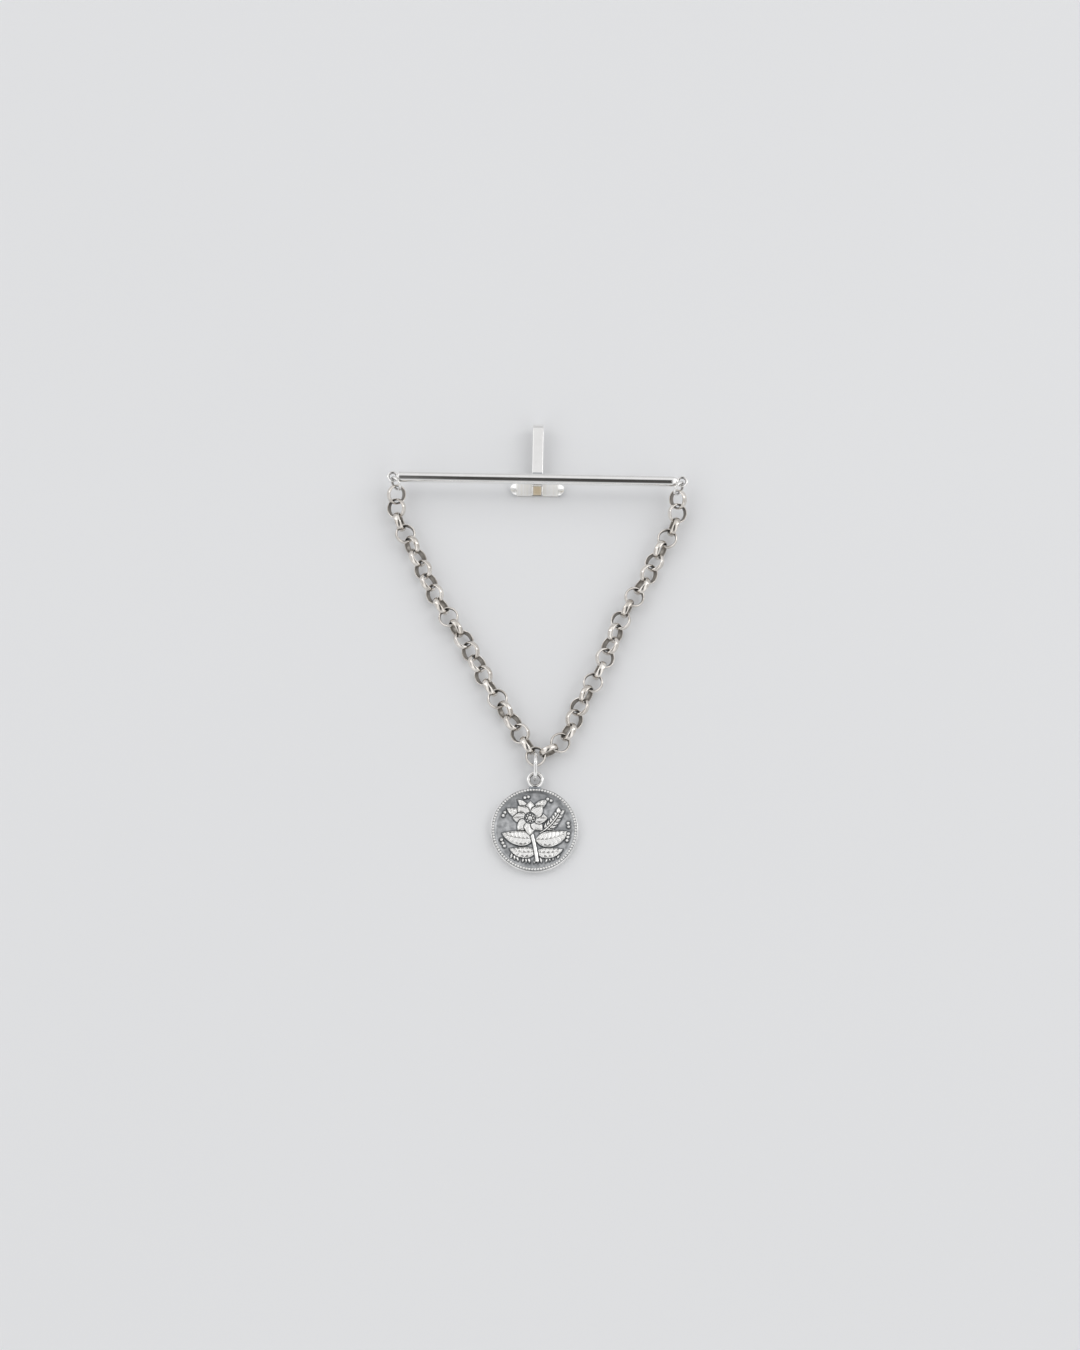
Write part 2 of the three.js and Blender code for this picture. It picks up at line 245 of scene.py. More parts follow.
def polished_silver(name, line_output, line_scale, gloss, bright=silver_bright, dull=silver_dull):
    material, tree, shader, coordinates = new_material(name)
    place = coordinates.outputs["Object"]
    cloud, scratch = add_wear(tree, place, coordinates.outputs[line_output], line_scale)
    plain = blend_colours(tree, math_node(tree, "MULTIPLY", cloud, dull_share), bright, dull)
    # The dark attribute mixes in tarnish and painted shade on the rings' inner sides.
    dark = add_node(tree, "ShaderNodeAttribute", {}, attribute_name="dark").outputs["Fac"]
    colour = blend_colours(tree, dark, plain, silver_tarnish_and_shade)
    roughness = ramp(tree, scratch, 0.0, 1.0, gloss, gloss + gloss_spread)
    dress(tree, shader, colour, roughness, scratch, polish_marks)
    shader.inputs["Metallic"].default_value = 1.0
    return material


def finish_piece(name, bm, material, body, nodes):
    bmesh.ops.remove_doubles(bm, verts=bm.verts, dist=merge_distance)
    bmesh.ops.recalc_face_normals(bm, faces=bm.faces)
    mesh = bpy.data.meshes.new(name)
    bm.to_mesh(mesh)
    bm.free()
    mesh.materials.append(material)
    mesh.shade_smooth()
    mesh.set_sharp_from_angle(angle=smooth_angle)
    piece = bpy.data.objects.new(name, mesh)
    bpy.context.scene.collection.objects.link(piece)
    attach(piece, body)
    if nodes:
        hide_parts(*nodes)
    return piece


def spin_outline(bm, points, steps):
    corners = [bm.verts.new((radius, 0, height)) for radius, height in points]
    edges = [bm.edges.new(pair) for pair in zip(corners, corners[1:])]
    bmesh.ops.spin(bm, geom=corners + edges, cent=(0, 0, 0), axis=(0, 0, 1), angle=2 * math.pi,
                   steps=steps, use_merge=True)
    bmesh.ops.remove_doubles(bm, verts=bm.verts, dist=merge_distance)


def round_edges(bm, edges, offset, segments):
    bmesh.ops.bevel(bm, geom=edges, offset=offset, offset_type="OFFSET", affect="EDGES",
                    segments=segments, profile=0.5, material=-1, clamp_overlap=True)


bar_low, bar_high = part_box("bar")
bar_radius = (bar_high.z - bar_low.z) / 2
bar_height = (bar_high.z + bar_low.z) / 2
bar_half = (bar_high.x - bar_low.x) / 2
outline = [(0, -bar_half), (bar_radius, -bar_half)]
for step in range(taper_steps + 1):
    share = step / taper_steps
    outline.append((bar_radius * (1 - taper_depth * share ** 2), bar_half - taper_length * (1 - share)))
outline.append((0, bar_half))
bm = bmesh.new()
spin_outline(bm, outline, rod_steps)
for end, offset in ((-bar_half, left_bevel), (bar_half, right_bevel)):
    rim_corners = {v for v in bm.verts if abs(v.co.z - end) < tolerance and v.co.xy.length > bar_radius / 2}
    round_edges(bm, [edge for edge in bm.edges if rim_corners.issuperset(edge.verts)], offset, bevel_steps)
bmesh.ops.rotate(bm, verts=bm.verts, matrix=Matrix.Rotation(math.pi / 2, 3, "Y"))
bmesh.ops.translate(bm, verts=bm.verts, vec=(0, 0, bar_height))
bar_silver = polished_silver("bar_silver", "Object", bar_lines, bar_gloss)
finish_piece("bar_rod", bm, bar_silver, "frame", ["bar"])

# Eyelets: a small closed ring of round silver wire lying flat on each end of the bar.
# A spot of solder, drawn up between ring and rod, holds it.
ring_steps = 64
wire_sides = 20
ring_lines = (12, 60, 1)
ring_gloss = 0.07
# Darkening of the ring wire, part tarnish and part painted shade, reaching full on its inner side.
ring_tarnish_and_shade = 0.15
solder_size = Vector((0.34, 0.44, 0.34)) * mm


def ring_shape(node, toward=Vector((0, -1, 0))):
    points = np.array([v.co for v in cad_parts[node].data.vertices])
    points = np.unique(points.round(8), axis=0)
    centre = points.mean(axis=0)
    axis = np.linalg.svd(points - centre, full_matrices=False)[2][2]
    heights = (points - centre) @ axis
    reach = np.linalg.norm(points - centre - np.outer(heights, axis), axis=1)
    across = Vector(axis)
    along = (toward - across * toward.dot(across)).normalized()
    place = Matrix((along, across.cross(along), across)).transposed().to_4x4()
    place.translation = Vector(centre)
    return place, reach.max(), reach.min(), 2 * abs(heights).max()


def add_wire_ring(bm, outer, wire, gap=0.0):
    dark = bm.verts.layers.float.new("dark")
    section = bmesh.ops.create_circle(bm, segments=wire_sides, radius=wire / 2)["verts"]
    # The wire is painted darker towards its inner side: partly tarnish, partly painted shade.
    for v in section:
        v[dark] = min(max(ring_tarnish_and_shade - v.co.x / wire * 2, 0.0), 1.0)
    bmesh.ops.rotate(bm, verts=section, matrix=Matrix.Rotation(math.pi / 2, 3, "X"))
    bmesh.ops.translate(bm, verts=section, vec=(outer - wire / 2, 0, 0))
    edges = list({edge for v in section for edge in v.link_edges})
    sweep = 2 * math.pi - gap / outer
    result = bmesh.ops.spin(bm, geom=section + edges, cent=(0, 0, 0), axis=(0, 0, 1), angle=sweep,
                            steps=ring_steps, use_merge=gap == 0)
    if gap:
        last = [part for part in result["geom_last"] if isinstance(part, bmesh.types.BMEdge)]
        bmesh.ops.edgeloop_fill(bm, edges=edges)
        bmesh.ops.edgeloop_fill(bm, edges=last)


def wrap_uv(bm):
    layer = bm.loops.layers.uv.new("wrap")
    for face in bm.faces:
        turns = [math.atan2(loop.vert.co.y, loop.vert.co.x) / (2 * math.pi) for loop in face.loops]
        for loop, turn in zip(face.loops, turns):
            around = turn + 1 if max(turns) - turn > 0.5 else turn
            loop[layer].uv = (around, loop.vert.co.z / mm)


ring_silver = polished_silver("ring_silver", "UV", ring_lines, ring_gloss)
for side in ("left", "right"):
    place, outer, inner, wire = ring_shape(f"{side}_eyelet")
    bm = bmesh.new()
    add_wire_ring(bm, outer, wire)
    wrap_uv(bm)
    bmesh.ops.transform(bm, matrix=place, verts=bm.verts)
    solder_x = math.copysign(bar_half, place.translation.x)
    spot = Matrix.Translation((solder_x, 0, bar_height)) @ Matrix.Diagonal(solder_size).to_4x4()
    bmesh.ops.create_uvsphere(bm, u_segments=20, v_segments=12, radius=1.0, matrix=spot)
    finish_piece(f"{side}_eyelet_ring", bm, ring_silver, "frame", [f"{side}_eyelet"])

# Clip strip: flat silver wire with rounded edges, bent over at the top into a spring leg that runs back.
# The bar is soldered across the front leg; the back leg's end, tinted by heat, is let into the grip plate.
strip_thickness = 0.8 * mm
strip_edge = 0.14 * mm
strip_lap = 0.45 * mm
bend_steps = 32
strip_lines = (5000, 60, 5000)
strip_gloss = (0.07, 0.16)
strip_marks = 0.004 * mm
heat_tint = (0.86, 0.745, 0.56, 1)
tint_length = 1.2 * mm
tint_height = (1.3 * mm, 1.6 * mm)
tint_half = (0.62 * mm, 0.86 * mm)
tint_dulling = 0.4
strip_low, strip_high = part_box("clip_strip")
grip_low, grip_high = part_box("grip_plate")
bend_radius = strip_high.z / 2
bend_y = strip_high.y - bend_radius


def push_face(bm, face, offset):
    made = bmesh.ops.extrude_face_region(bm, geom=[face])["geom"]
    bmesh.ops.translate(bm, verts=[part for part in made if isinstance(part, bmesh.types.BMVert)], vec=offset)
    return next(part for part in made if isinstance(part, bmesh.types.BMFace))


bm = bmesh.new()
corners = [(strip_low.x, strip_high.z - strip_thickness), (strip_high.x, strip_high.z - strip_thickness),
           (strip_high.x, strip_high.z), (strip_low.x, strip_high.z)]
end = bm.faces.new([bm.verts.new((x, -bar_radius, z)) for x, z in corners])
bmesh.ops.bevel(bm, geom=list(end.verts), offset=strip_edge, offset_type="OFFSET", affect="VERTICES",
                segments=4, profile=0.5, material=-1)
bm.faces.ensure_lookup_table()
end = push_face(bm, bm.faces[0], (0, bend_y + bar_radius, 0))
bent = bmesh.ops.spin(bm, geom=[end], cent=(0, bend_y, bend_radius), axis=(-1, 0, 0), angle=math.pi,
                      steps=bend_steps)
end = next(part for part in bent["geom_last"] if isinstance(part, bmesh.types.BMFace))
end = push_face(bm, end, (0, grip_high.y - bend_y, strip_lap))
push_face(bm, end, (0, grip_low.y - grip_high.y, 0))
strip_silver, tree, shader, coordinates = new_material("strip_silver")
place = coordinates.outputs["Object"]
cloud, scratch = add_wear(tree, place, place, strip_lines)
depth = split_vector(tree, place)
near_plate = ramp(tree, depth["Y"], grip_high.y, grip_high.y + tint_length, 1.0, 0.0)
low_leg = ramp(tree, depth["Z"], *tint_height, 1.0, 0.0)
middle = ramp(tree, math_node(tree, "ABSOLUTE", depth["X"]), *tint_half, 1.0, 0.0)
tint = math_node(tree, "MULTIPLY", math_node(tree, "MULTIPLY", near_plate, low_leg), middle)
plain = blend_colours(tree, math_node(tree, "MULTIPLY", cloud, dull_share), silver_bright, silver_dull)
gloss = ramp(tree, scratch, 0.0, 1.0, *strip_gloss)
gloss = math_node(tree, "ADD", gloss, math_node(tree, "MULTIPLY", tint, tint_dulling))
dress(tree, shader, blend_colours(tree, tint, plain, heat_tint), gloss, scratch, strip_marks)
shader.inputs["Metallic"].default_value = 1.0
finish_piece("clip_strip_spring", bm, strip_silver, "frame", ["clip_strip"])

# Solder seam: a thin hollow fillet along each side of the bar, where it lies on the strip's front leg.
# It is run in with the torch, so its face curves from the strip up to the rod.
# Its grey is partly the solder's own colour and partly painted shade along the joint.
solder_and_shade_grey = (0.34, 0.36, 0.385, 1)
solder_and_shade_dark = (0.18, 0.19, 0.21, 1)
seam_width = 1.8 * mm
seam_reach = {1: 1.0 * mm, -1: 0.22 * mm}
seam_root = 0.1 * mm
seam_climb = math.radians(50)
seam_fullness = 0.6
solder_lines = (900, 900, 900)
solder_gloss = 0.3
seat_half = math.sqrt(bar_radius ** 2 - (bar_height - strip_high.z) ** 2)
bm = bmesh.new()
for side, reach in seam_reach.items():
    foot = Vector((0, side * (seat_half + reach), strip_high.z))
    climb = Vector((0, side * math.sin(seam_climb), -math.cos(seam_climb)))
    top = Vector((0, 0, bar_height)) + bar_radius * climb
    root = Vector((0, side * (seat_half - seam_root), strip_high.z - seam_root))
    seat = Vector((0, side * seat_half, strip_high.z))
    hollow = (foot + top) / 2 * seam_fullness + seat * (1 - seam_fullness)
    left_end = Vector((-seam_width / 2, 0, 0))
    seam = bm.faces.new([bm.verts.new(corner + left_end) for corner in (root, foot, hollow, top)])
    push_face(bm, seam, (seam_width, 0, 0))
grey_solder_and_shade = polished_silver("grey_solder_and_shade", "Object", solder_lines, solder_gloss, solder_and_shade_grey, solder_and_shade_dark)
finish_piece("bar_solder_seam", bm, grey_solder_and_shade, "frame", [])

# Grip plate: a cross bar of silver sheet with round ends and lifted tips, rubbed smooth all round.
# The strip's end is let into its front and soldered, and the cloth is held against it.
grip_thickness = 0.9 * mm
grip_tip = 1.9 * mm
grip_round = 0.22 * mm
grip_slope = math.tan(math.radians(30))
grip_round_steps = 4
end_fullness = 0.999
tip_cuts = 5
tip_bright = (0.4 * mm, 1.1 * mm)
# Painted contact shade along the plate's bottom edge.
plate_shade_reach = (0.1 * mm, 0.6 * mm)
plate_shade_share = 0.8
plate_lines = (3000, 60, 3000)
plate_gloss = (0.35, 0.16)
plate_metal = (0.15, 1.0)
plate_marks = 0.002 * mm
plate_white = (0.98, 0.98, 0.975, 1)
plate_warm = (0.93, 0.91, 0.86, 1)
plate_shade_colour = (0.4, 0.39, 0.37, 1)
grip_half = grip_high.x
grip_flat = grip_half - grip_tip
bm = bmesh.new()
corners = [(-grip_half, grip_low.y), (grip_half, grip_low.y),
           (grip_half, grip_high.y), (-grip_half, grip_high.y)]
sheet = bm.faces.new([bm.verts.new((x, y, 0)) for x, y in corners])
end_radius = (grip_high.y - grip_low.y) / 2 * end_fullness
bmesh.ops.bevel(bm, geom=list(sheet.verts), offset=end_radius, offset_type="OFFSET", affect="VERTICES",
                segments=10, profile=0.5, material=-1)
bm.faces.ensure_lookup_table()
push_face(bm, bm.faces[0], (0, 0, grip_thickness))
level_edges = [edge for edge in bm.edges if abs(edge.verts[0].co.z - edge.verts[1].co.z) < tolerance]
round_edges(bm, level_edges, grip_round, grip_round_steps)
for side in (-1, 1):
    for cut in range(tip_cuts):
        at = side * (grip_flat + grip_tip * (cut / tip_cuts) ** 2)
        everything = bm.verts[:] + bm.edges[:] + bm.faces[:]
        bmesh.ops.bisect_plane(bm, geom=everything, plane_co=(at, 0, 0), plane_no=(1, 0, 0))
for v in bm.verts:
    past = max(abs(v.co.x) - grip_flat, 0.0)
    v.co.z += grip_slope * past * past / grip_tip / 2
plate_silver, tree, shader, coordinates = new_material("plate_silver")
place = coordinates.outputs["Object"]
scratch = add_wear(tree, place, place, plate_lines)[1]
spread = split_vector(tree, place)
tip_reach = [grip_flat + past for past in tip_bright]
tip = ramp(tree, math_node(tree, "ABSOLUTE", spread["X"]), *tip_reach)
# Painted shade: the plate darkens towards the table, drawing the contact line under it.
foot = ramp(tree, spread["Z"], *plate_shade_reach, plate_shade_share, 0.0)
satin = blend_colours(tree, scratch, plate_white, plate_warm)
gloss = ramp(tree, tip, 0.0, 1.0, *plate_gloss)
rubbed = blend_colours(tree, tip, satin, plate_white)
dress(tree, shader, blend_colours(tree, foot, rubbed, plate_shade_colour), gloss, scratch, plate_marks)
tree.links.new(ramp(tree, tip, 0.0, 1.0, *plate_metal), shader.inputs["Metallic"])
finish_piece("grip_plate_cross", bm, plate_silver, "frame", ["grip_plate"])

# Jump rings: thin round wire, closed by hand, one in each eyelet and in the first link of the chain.
# Each keeps the fine gap where the ends of the wire meet.
wire_gap = 0.05 * mm
for side in ("left", "right"):
    place, outer, inner, wire = ring_shape(f"{side}_jump_ring", Vector((0, 0, 1)))
    bm = bmesh.new()
    add_wire_ring(bm, outer, outer - inner, wire_gap)
    wrap_uv(bm)
    bmesh.ops.transform(bm, matrix=place, verts=bm.verts)
    finish_piece(f"{side}_jump_ring_wire", bm, ring_silver, f"{side}_jump_ring", [f"{side}_jump_ring"])

# Chain: rolo links of half-round silver wire, flat inside and domed outside, each soldered round the next.
# The chain was darkened and its domes rubbed bright again, so only the inside walls keep the dark. The walls
# carry painted shade where the links cross.
link_steps = 56
link_sides = 24
link_shoulder = 0.2 * mm
link_trim = 1.05
link_fill = 0.02 * mm
inner_square = 2.6
chain_bright = (0.85, 0.815, 0.77, 1)
chain_warm = (0.5, 0.455, 0.405, 1)
chain_wall = (0.29, 0.27, 0.245, 1)
chain_crossing_shade = (0.05, 0.047, 0.043, 1)
chain_lines = (14, 70, 1)
chain_uneven = 0.3
chain_gloss = (0.16, 0.36)
chain_marks = 0.001 * mm
chain_slope = (0.5, 0.87)
dark_reach = (0.35, 0.8)
dark_start = 0.1
dark_span = 0.5
warm_share = 0.7
crossing_shade_share = 0.9
crossing_shade_power = 4
golden_turn = math.radians(137.5)

chain_silver, tree, shader, coordinates = new_material("chain_silver")
cloud, scratch = add_wear(tree, coordinates.outputs["Object"], coordinates.outputs["UV"], chain_lines)
dark = add_node(tree, "ShaderNodeAttribute", {}, attribute_name="dark").outputs["Fac"]
uneven = math_node(tree, "MULTIPLY", math_node(tree, "SUBTRACT", cloud, 0.5), chain_uneven)
dark = ramp(tree, math_node(tree, "ADD", dark, uneven), *dark_reach)
rubbed = blend_colours(tree, math_node(tree, "MULTIPLY", cloud, warm_share), chain_bright, chain_warm)
# Painted shade: the inside walls darken further at both ends along the chain, where the next links pass
# through.
crossing_shade = add_node(tree, "ShaderNodeAttribute", {}, attribute_name="crossing_shade").outputs["Fac"]
wall = blend_colours(tree, math_node(tree, "MULTIPLY", crossing_shade, crossing_shade_share), chain_wall, chain_crossing_shade)
gloss = ramp(tree, dark, 0.0, 1.0, *chain_gloss)
dress(tree, shader, blend_colours(tree, dark, rubbed, wall), gloss, scratch, chain_marks)
shader.inputs["Metallic"].default_value = 1.0


def add_link(node, body, number):
    aside, down = chain_slope
    toward = Vector((aside if node.startswith("left") else -aside, -down, 0))
    place, outer, inner, width = ring_shape(node, toward)
    outer += link_fill
    bm = bmesh.new()
    dark = bm.verts.layers.float.new("dark")
    crossing_shade = bm.verts.layers.float.new("crossing_shade")
    section = bmesh.ops.create_circle(bm, segments=link_sides, radius=1.0)["verts"]
    for v in section:
        outward, along = v.co.x, v.co.y
        half = width / 2 * link_trim
        if outward < 0:
            flat = 2 / inner_square
            radius = inner + link_shoulder - link_shoulder * abs(outward) ** flat
            height = math.copysign(half * abs(along) ** flat, along)
        else:
            radius = inner + link_shoulder + (outer - inner - link_shoulder) * outward
            height = half * along
        v[dark] = min(max((-outward - dark_start) / dark_span, 0.0), 1.0)
        v.co = (radius, 0, height)
    edges = list({edge for v in section for edge in v.link_edges})
    bmesh.ops.spin(bm, geom=section + edges, cent=(0, 0, 0), axis=(0, 0, 1), angle=2 * math.pi,
                   steps=link_steps, use_merge=True)
    wrap_uv(bm)
    bmesh.ops.transform(bm, matrix=Matrix.Rotation(number * golden_turn, 4, "Z"), verts=bm.verts)
    # Painted shade at both ends of the link along the chain, where its neighbours cross.
    for v in bm.verts:
        v[crossing_shade] = (v.co.x / v.co.xy.length) ** crossing_shade_power
    bmesh.ops.transform(bm, matrix=place, verts=bm.verts)
    finish_piece(f"{node}_band", bm, chain_silver, body, [node])


chain_nodes = sorted(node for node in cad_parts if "link" in node)
for number, node in enumerate(chain_nodes):
    add_link(node, node, number)

# Pendant ring: a heavier round jump ring that stands on edge through the centre link and the bail.
# Its wire is polished like the bar's rings.
place, outer, inner, wire = ring_shape("pendant_jump_ring", Vector((0, 0, 1)))
bm = bmesh.new()
add_wire_ring(bm, outer, outer - inner, wire_gap)
wrap_uv(bm)
bmesh.ops.transform(bm, matrix=place, verts=bm.verts)
finish_piece("pendant_ring_wire", bm, ring_silver, "pendant_jump_ring", ["pendant_jump_ring"])

# Bail: a closed ring of thick round wire that stands on the top of the medallion's edge.
# A wide foot of grey solder, never polished, spreads where the two meet; its grey is partly painted shadow of
# the bail.
bail_low, bail_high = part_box("medallion_bail")
medal_low, medal_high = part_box("medallion")
bail_radius = (bail_high.x - bail_low.x) / 2
bail_weight = 1.15
bail_wire = (bail_high.z - bail_low.z) * bail_weight
bail_middle = (bail_high.z + bail_low.z) / 2
medal_x = (medal_low.x + medal_high.x) / 2
medal_y = (medal_low.y + medal_high.y) / 2
medal_radius = (medal_high.x - medal_low.x) / 2
foot_size = Vector((1.2, 0.36, 0.4)) * mm
bm = bmesh.new()
add_wire_ring(bm, bail_radius, bail_wire)
wrap_uv(bm)
bmesh.ops.translate(bm, verts=bm.verts, vec=(medal_x, bail_high.y - bail_radius, bail_middle))
finish_piece("bail_ring", bm, ring_silver, "pendant", ["medallion_bail"])
foot_place = Matrix.Translation((medal_x, medal_high.y - foot_size.y / 3, bail_middle))
foot = foot_place @ Matrix.Diagonal(foot_size).to_4x4()
bm = bmesh.new()
bmesh.ops.create_uvsphere(bm, u_segments=32, v_segments=16, radius=1.0, matrix=foot)
finish_piece("bail_solder_foot", bm, grey_solder_and_shade, "pendant", [])

# Medallion: a struck silver disc with a round shoulder and a ring of beads about a sunk field, plain behind.
# A flowering plant stands up from the field; all of it was darkened, and the high parts were rubbed bright.
bead_count = 90
bead_radius = 0.245 * mm
bead_inset = 0.43 * mm
bead_margin = 0.27 * mm
bead_circle = medal_radius - bead_inset
ledge = 1.42 * mm
ledge_inner = bead_circle - bead_margin
ledge_round = 0.16 * mm
round_steps = 4
field_edge = medal_radius - mm
field_floor = 1.2 * mm
medal_bevel = 0.28 * mm
medal_steps = 6 * bead_count
field_rings = 110
field_core = 0.3 * mm
relief_height = 0.44
groove = 0.16
groove_floor = 0.1
foot_dark = 0.35
medal_lines = (900, 900, 900)
medal_uneven = 0.1 * mm
medal_gloss = (0.4, 0.18)
medal_marks = 0.004 * mm
field_blend = 0.03 * mm
plant_rubbing = (0.1 * mm, 0.26 * mm)
bead_rubbing = (0.01 * mm, 0.12 * mm)
back_rubbing = (0.25 * mm, 0.6 * mm)
wall_start = 5.2 * mm
# Painted shadow of the wall on the field, stronger towards the bail's side.
top_wall_shade_reach = (-3 * mm, 4 * mm)
top_wall_shade_strength = (0.15, 0.35)
ledge_dark = 0.3
warm_cloud = 0.4
medal_bright = (0.95, 0.945, 0.93, 1)
medal_warm = (0.8, 0.79, 0.77, 1)
medal_grey = (0.7, 0.71, 0.72, 1)
medal_dark = (0.34, 0.35, 0.36, 1)
medal_deep = (0.09, 0.095, 0.1, 1)

leaf_fullness = 0.75
leaf_shoulder = 0.22
leaf_dome = 0.6
broad_leaf = 1.2
edge_cut, edge_inset, edge_width = 0.3, 0.34, 0.07
spine_cut, spine_width, spine_end = 0.42, 0.075, 0.9
vein_cut, vein_slant, vein_sharpness, vein_end = 0.3, 0.8, 10, 0.72
stem_dome = 0.4
stem_height = 0.9
frond_stem = 0.3
leaflet_start = 0.25
leaflet_size, leaflet_taper = 1.1, 0.45
leaflet_spread, leaflet_bend = 42, 25
flower_spot = np.array((-0.8, 2.1))
seed_count = 8
grass_count = 13
dot_circle = 6.2
dot_radius = 0.34
dot_angles = (62, 68, 101, 107, 150, 156, 199, 205, 211, 342, 348, 354, 6, 12)


def along_arc(points, base, heading, length, bend):
    # distance along an arc from its base, and to its left, for each point
    heading = math.radians(heading)
    radius = length / math.radians(bend)
    centre = np.array(base) + radius * np.array((-math.sin(heading), math.cos(heading)))
    spoke = points - centre
    start = np.array(base) - centre
    cross = start[0] * spoke[:, 1] - start[1] * spoke[:, 0]
    swing = np.arctan2(cross * np.sign(radius), spoke @ start)
    return swing * abs(radius), (abs(radius) - np.linalg.norm(spoke, axis=1)) * np.sign(radius)


def leaf(points, base, heading, length, width, bend, veins=0):
    along, aside = along_arc(points, base, heading, length, bend)
    share = np.clip(along / length, 0, 1)
    half = width / 2 * np.sin(math.pi * share ** leaf_fullness) ** leaf_fullness + 0.01
    out = abs(aside) / half
    inside = (along > 0) & (along < length)
    to_edge = (1 - out) * half
    body = np.clip(to_edge / leaf_shoulder, 0, 1) ** leaf_dome
    edge_line = edge_cut * np.exp(-((to_edge - edge_inset) / edge_width) ** 2) * (width > broad_leaf)
    spine_line = spine_cut * np.exp(-((aside / spine_width) ** 2)) * (share < spine_end)
    wave = np.cos(math.pi * (veins * share - vein_slant * out)) ** vein_sharpness
    vein_lines = vein_cut * wave * (out < vein_end) * (veins > 0)
    height = np.where(inside, body * (1 - np.maximum.reduce([edge_line, spine_line, vein_lines])), 0)
    beyond = np.maximum(np.maximum(-along, along - length), 0)
    return height, np.hypot(np.maximum(out - 1, 0) * half, beyond)


def stem(points, base, heading, length, width, bend):
    along, aside = along_arc(points, base, heading, length, bend)
    beyond = np.maximum(np.maximum(-along, along - length), 0)
    clear = np.hypot(np.maximum(abs(aside) - width / 2, 0), beyond)
    dome = np.clip(1 - (2 * aside / width) ** 2, 0, 1) ** stem_dome
    return np.where(beyond == 0, dome, 0) * stem_height, clear


def dot(points, centre, radius):
    gone = np.linalg.norm(points - np.array(centre), axis=1)
    return np.sqrt(np.clip(1 - (gone / radius) ** 2, 0, 1)), np.maximum(gone - radius, 0)


def turned(length, angle):
    return np.array((length * math.cos(math.radians(angle)), length * math.sin(math.radians(angle))))


def flower(points, centre, petals, first, start, length, width):
    shapes = []
    for petal in range(petals):
        heading = first + 360 * petal / petals
        shapes.append(leaf(points, centre + turned(start, heading), heading, length, width, 1))
    return shapes


def frond(points, base, heading, length, bend, leaflets, reach, width):
    shapes = []
    for leaflet in range(leaflets):
        share = leaflet_start + (1 - leaflet_start) * leaflet / (leaflets - 1)
        here = heading + bend * share
        radius = length / math.radians(bend)
        spot = np.array(base) + turned(radius, here - 90) - turned(radius, heading - 90)
        size = reach * (leaflet_size - leaflet_taper * share)
        for side in (-1, 1):
            shapes.append(leaf(points, spot, here + side * leaflet_spread, size, width, -side * leaflet_bend))
    shapes.append(stem(points, base, heading, length, frond_stem, bend))
    return shapes


def flowering_plant(points):
    # the raised design on the field, in millimetres from its middle, laid from the back to the front;
    # a leaf or stem has its base, heading, length, width and bend in degrees, and a leaf its veins
    shapes = []
    for stroke in range(grass_count):
        x = -4.2 + 0.7 * stroke
        shapes.append(leaf(points, (x, -6.35 + 0.05 * x * x), 66 + 16 * (stroke % 3), 1.35, 0.5, 20))
    shapes += frond(points, (1.0, -0.7), 34, 5.1, 28, 6, 1.9, 0.9)
    shapes.append(leaf(points, (-1.6, 2.6), 172, 3.8, 1.9, -25, 6))
    shapes.append(leaf(points, (-1.4, 3.6), 120, 2.7, 1.4, 25, 4))
    shapes.append(leaf(points, (-0.2, 3.3), 52, 3.6, 1.6, -20, 5))
    shapes.append(leaf(points, (0.3, -1.9), -2, 6.2, 3.1, 34, 8))
    shapes.append(leaf(points, (-0.1, -1.6), 188, 5.9, 2.9, -32, 8))
    shapes.append(leaf(points, (0.5, -4.1), -16, 4.9, 2.1, 45, 6))
    shapes.append(leaf(points, (0.3, -4.0), 198, 4.9, 2.2, -45, 6))
    shapes.append(stem(points, (0.6, -6.0), 97, 6.8, 0.72, 12))
    shapes += flower(points, flower_spot, 8, 90, 0.6, 2.6, 2.2)
    shapes.append(dot(points, flower_spot, 1.0))
    for seed in range(seed_count):
        shapes.append(dot(points, flower_spot + turned(0.66, 360 / seed_count * seed), 0.2))
    for angle in dot_angles:
        shapes.append(dot(points, turned(dot_circle, angle), dot_radius))
    ground = 0 * points[:, 0]
    for height, clear in shapes:
        cut = groove_floor + (1 - groove_floor) * np.clip(clear / groove, 0, 1)
        ground = np.maximum(ground * cut, height)
    nearest = np.minimum.reduce([clear for height, clear in shapes])
    return ground, np.clip(1 - nearest / foot_dark, 0, 1) * np.clip(1 - 2 * ground, 0, 1)


bm = bmesh.new()
for bead in range(bead_count):
    turn = 2 * math.pi * bead / bead_count
    spot = Matrix.Translation((bead_circle * math.cos(turn), bead_circle * math.sin(turn), ledge))
    bmesh.ops.create_uvsphere(bm, u_segments=12, v_segments=8, radius=bead_radius, matrix=spot)
outline = [(0, 0), (medal_radius - medal_bevel, 0), (medal_radius, medal_bevel)]
for step in range(round_steps + 1):
    turn = math.pi / 2 * step / round_steps
    outline.append((medal_radius - ledge_round * (1 - math.cos(turn)),
                    ledge - ledge_round * (1 - math.sin(turn))))
outline += [(ledge_inner, ledge), (field_edge, field_floor)]
for ring in range(1, field_rings + 1):
    outline.append((field_edge + (field_core - field_edge) * ring / field_rings, field_floor))
outline.append((0, field_floor))
spin_outline(bm, outline, medal_steps)
dark = bm.verts.layers.float.new("dark")
inside = field_edge - tolerance
field = [v for v in bm.verts if abs(v.co.z - field_floor) < tolerance / 10 and v.co.xy.length < inside]
raised, shaded = flowering_plant(np.array([(v.co.x / mm, v.co.y / mm) for v in field]))
for v, height, shade in zip(field, raised, shaded):
    v.co.z += relief_height * mm * height
    v[dark] = shade
bmesh.ops.translate(bm, verts=bm.verts, vec=(medal_x, medal_y, 0))

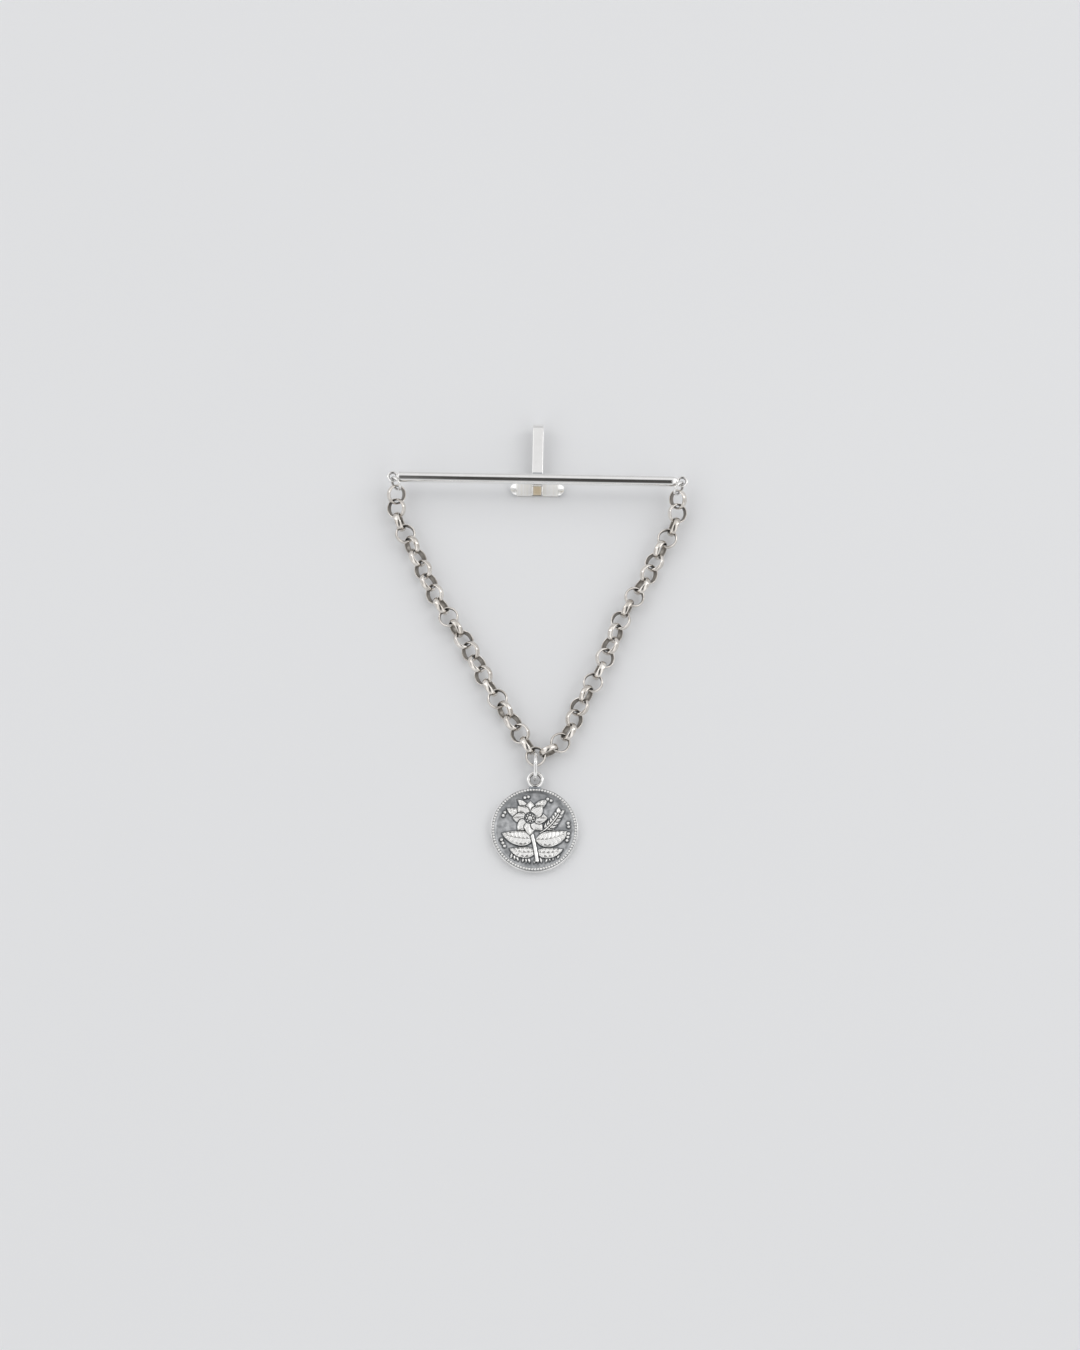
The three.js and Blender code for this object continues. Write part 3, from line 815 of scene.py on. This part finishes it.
medallion_silver, tree, shader, coordinates = new_material("medallion_silver")
place = coordinates.outputs["Object"]
cloud, scratch = add_wear(tree, place, place, medal_lines)
spread = split_vector(tree, place)
height = spread["Z"]
flat = add_node(tree, "ShaderNodeVectorMath", {0: place, 1: (1, 1, 0)}, operation="MULTIPLY").outputs[0]
middle = {0: flat, 1: (medal_x, medal_y, 0)}
from_middle = add_node(tree, "ShaderNodeVectorMath", middle, operation="DISTANCE").outputs["Value"]
uneven = math_node(tree, "MULTIPLY", math_node(tree, "SUBTRACT", cloud, 0.5), medal_uneven)
level = math_node(tree, "ADD", height, uneven)
on_field = ramp(tree, from_middle, field_edge, field_edge + field_blend, 1.0, 0.0)
high_plant = ramp(tree, level, *[field_floor + above for above in plant_rubbing])
plant_rub = math_node(tree, "MULTIPLY", on_field, high_plant)
high_bead = ramp(tree, height, *[ledge + above for above in bead_rubbing])
bead_rub = math_node(tree, "SUBTRACT", high_bead, on_field)
edge_rub = ramp(tree, from_middle, medal_radius - ledge_round, medal_radius - ledge_round / 3)
back_rub = ramp(tree, height, *back_rubbing, 1.0, 0.0)
front_rub = math_node(tree, "MAXIMUM", plant_rub, bead_rub)
rubbed = math_node(tree, "MAXIMUM", front_rub, math_node(tree, "MAXIMUM", edge_rub, back_rub))
bright = blend_colours(tree, math_node(tree, "MULTIPLY", cloud, warm_cloud), medal_bright, medal_warm)
patina = blend_colours(tree, scratch, medal_dark, medal_grey)
# The field darkens near its wall, partly patina and partly painted shadow of the wall, most towards the bail.
near_wall = ramp(tree, from_middle, wall_start, field_edge)
top_wall_shade = ramp(tree, spread["Y"], *[medal_y + up for up in top_wall_shade_reach], *top_wall_shade_strength)
patina_and_shade = add_node(tree, "ShaderNodeAttribute", {}, attribute_name="dark").outputs["Fac"]
patina_and_shade = math_node(tree, "MAXIMUM", patina_and_shade, math_node(tree, "MULTIPLY", near_wall, top_wall_shade))
on_ledge = ramp(tree, from_middle, field_edge, ledge_inner, 0.0, ledge_dark)
patina_and_shade = math_node(tree, "MAXIMUM", patina_and_shade, on_ledge)
patina = blend_colours(tree, patina_and_shade, patina, medal_deep)
gloss = ramp(tree, rubbed, 0.0, 1.0, *medal_gloss)
dress(tree, shader, blend_colours(tree, rubbed, patina, bright), gloss, scratch, medal_marks)
shader.inputs["Metallic"].default_value = 1.0
finish_piece("medallion_disc", bm, medallion_silver, "pendant", ["medallion"])
